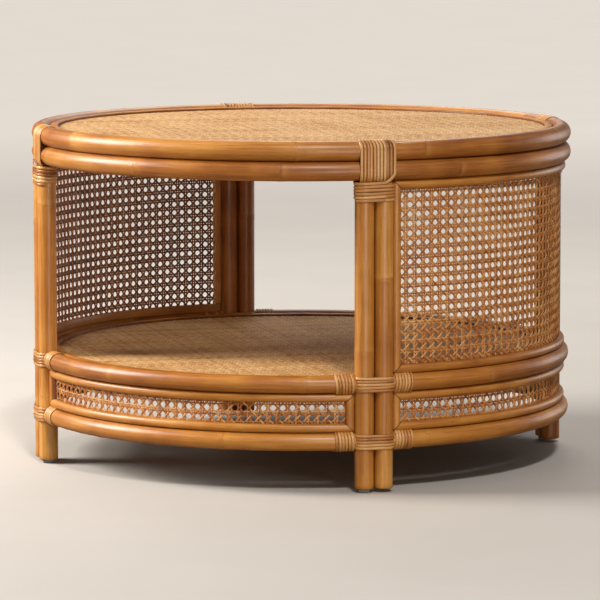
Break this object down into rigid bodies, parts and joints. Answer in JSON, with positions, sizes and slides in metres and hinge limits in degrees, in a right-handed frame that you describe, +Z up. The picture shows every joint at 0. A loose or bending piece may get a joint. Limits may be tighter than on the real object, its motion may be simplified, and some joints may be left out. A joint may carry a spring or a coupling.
{
  "type": "coffee table",
  "caption": "Round rattan coffee table with a woven top, an open lower shelf, curved cane side panels and a low cane band between bent rails.",
  "frame": {"origin": "on the floor, at the centre of the round table", "axes": "+Z up; the open sides of the shelf face -Y and +Y, the cane panels face -X and +X"},
  "size_m": [0.7624, 0.7624, 0.4742],
  "materials": {
    "rattan_pole": "honey lacquered rattan pole, semi-gloss",
    "rattan_peel": "lacquered rattan peel, semi-gloss",
    "cane_webbing": "open-mesh cane webbing, satin",
    "woven_mat": "close-woven rattan peel mat, satin",
    "hidden_wood": "bare board",
    "glide": "grey plastic"
  },
  "bodies": {
    "root": {"band_cane_front": "cane_webbing", "band_cane_left": "cane_webbing", "band_cane_rear": "cane_webbing", "band_cane_right": "cane_webbing", "band_frame_front": "rattan_pole", "band_frame_left": "rattan_pole", "band_frame_rear": "rattan_pole", "band_frame_right": "rattan_pole", "base_binding_front_left": "rattan_peel", "base_binding_front_right": "rattan_peel", "base_binding_rear_left": "rattan_peel", "base_binding_rear_right": "rattan_peel", "base_rail_front": "rattan_pole", "base_rail_left": "rattan_pole", "base_rail_rear": "rattan_pole", "base_rail_right": "rattan_pole", "glide_front_left": "glide", "glide_front_right": "glide", "glide_rear_left": "glide", "glide_rear_right": "glide", "left_panel_bottom_rail": "rattan_pole", "left_panel_cane": "cane_webbing", "left_panel_front_stile": "rattan_pole", "left_panel_rear_stile": "rattan_pole", "left_panel_top_rail": "rattan_pole", "leg_pole_front_left_open_side": "rattan_pole", "leg_pole_front_left_panel_side": "rattan_pole", "leg_pole_front_right_open_side": "rattan_pole", "leg_pole_front_right_panel_side": "rattan_pole", "leg_pole_rear_left_open_side": "rattan_pole", "leg_pole_rear_left_panel_side": "rattan_pole", "leg_pole_rear_right_open_side": "rattan_pole", "leg_pole_rear_right_panel_side": "rattan_pole", "right_panel_bottom_rail": "rattan_pole", "right_panel_cane": "cane_webbing", "right_panel_front_stile": "rattan_pole", "right_panel_rear_stile": "rattan_pole", "right_panel_top_rail": "rattan_pole", "rim_binding_front_left": "rattan_peel", "rim_binding_front_right": "rattan_peel", "rim_binding_rear_left": "rattan_peel", "rim_binding_rear_right": "rattan_peel", "rim_pole_lower": "rattan_pole", "rim_pole_upper": "rattan_pole", "shelf_batten": "hidden_wood", "shelf_binding_front_left": "rattan_peel", "shelf_binding_front_right": "rattan_peel", "shelf_binding_rear_left": "rattan_peel", "shelf_binding_rear_right": "rattan_peel", "shelf_board": "hidden_wood", "shelf_mat": "woven_mat", "shelf_rail_front": "rattan_pole", "shelf_rail_left": "rattan_pole", "shelf_rail_rear": "rattan_pole", "shelf_rail_right": "rattan_pole", "shelf_trim_ring": "rattan_peel", "top_batten": "hidden_wood", "top_board": "hidden_wood", "top_mat": "woven_mat", "top_trim_ring": "rattan_peel"}
  },
  "joints": []
}
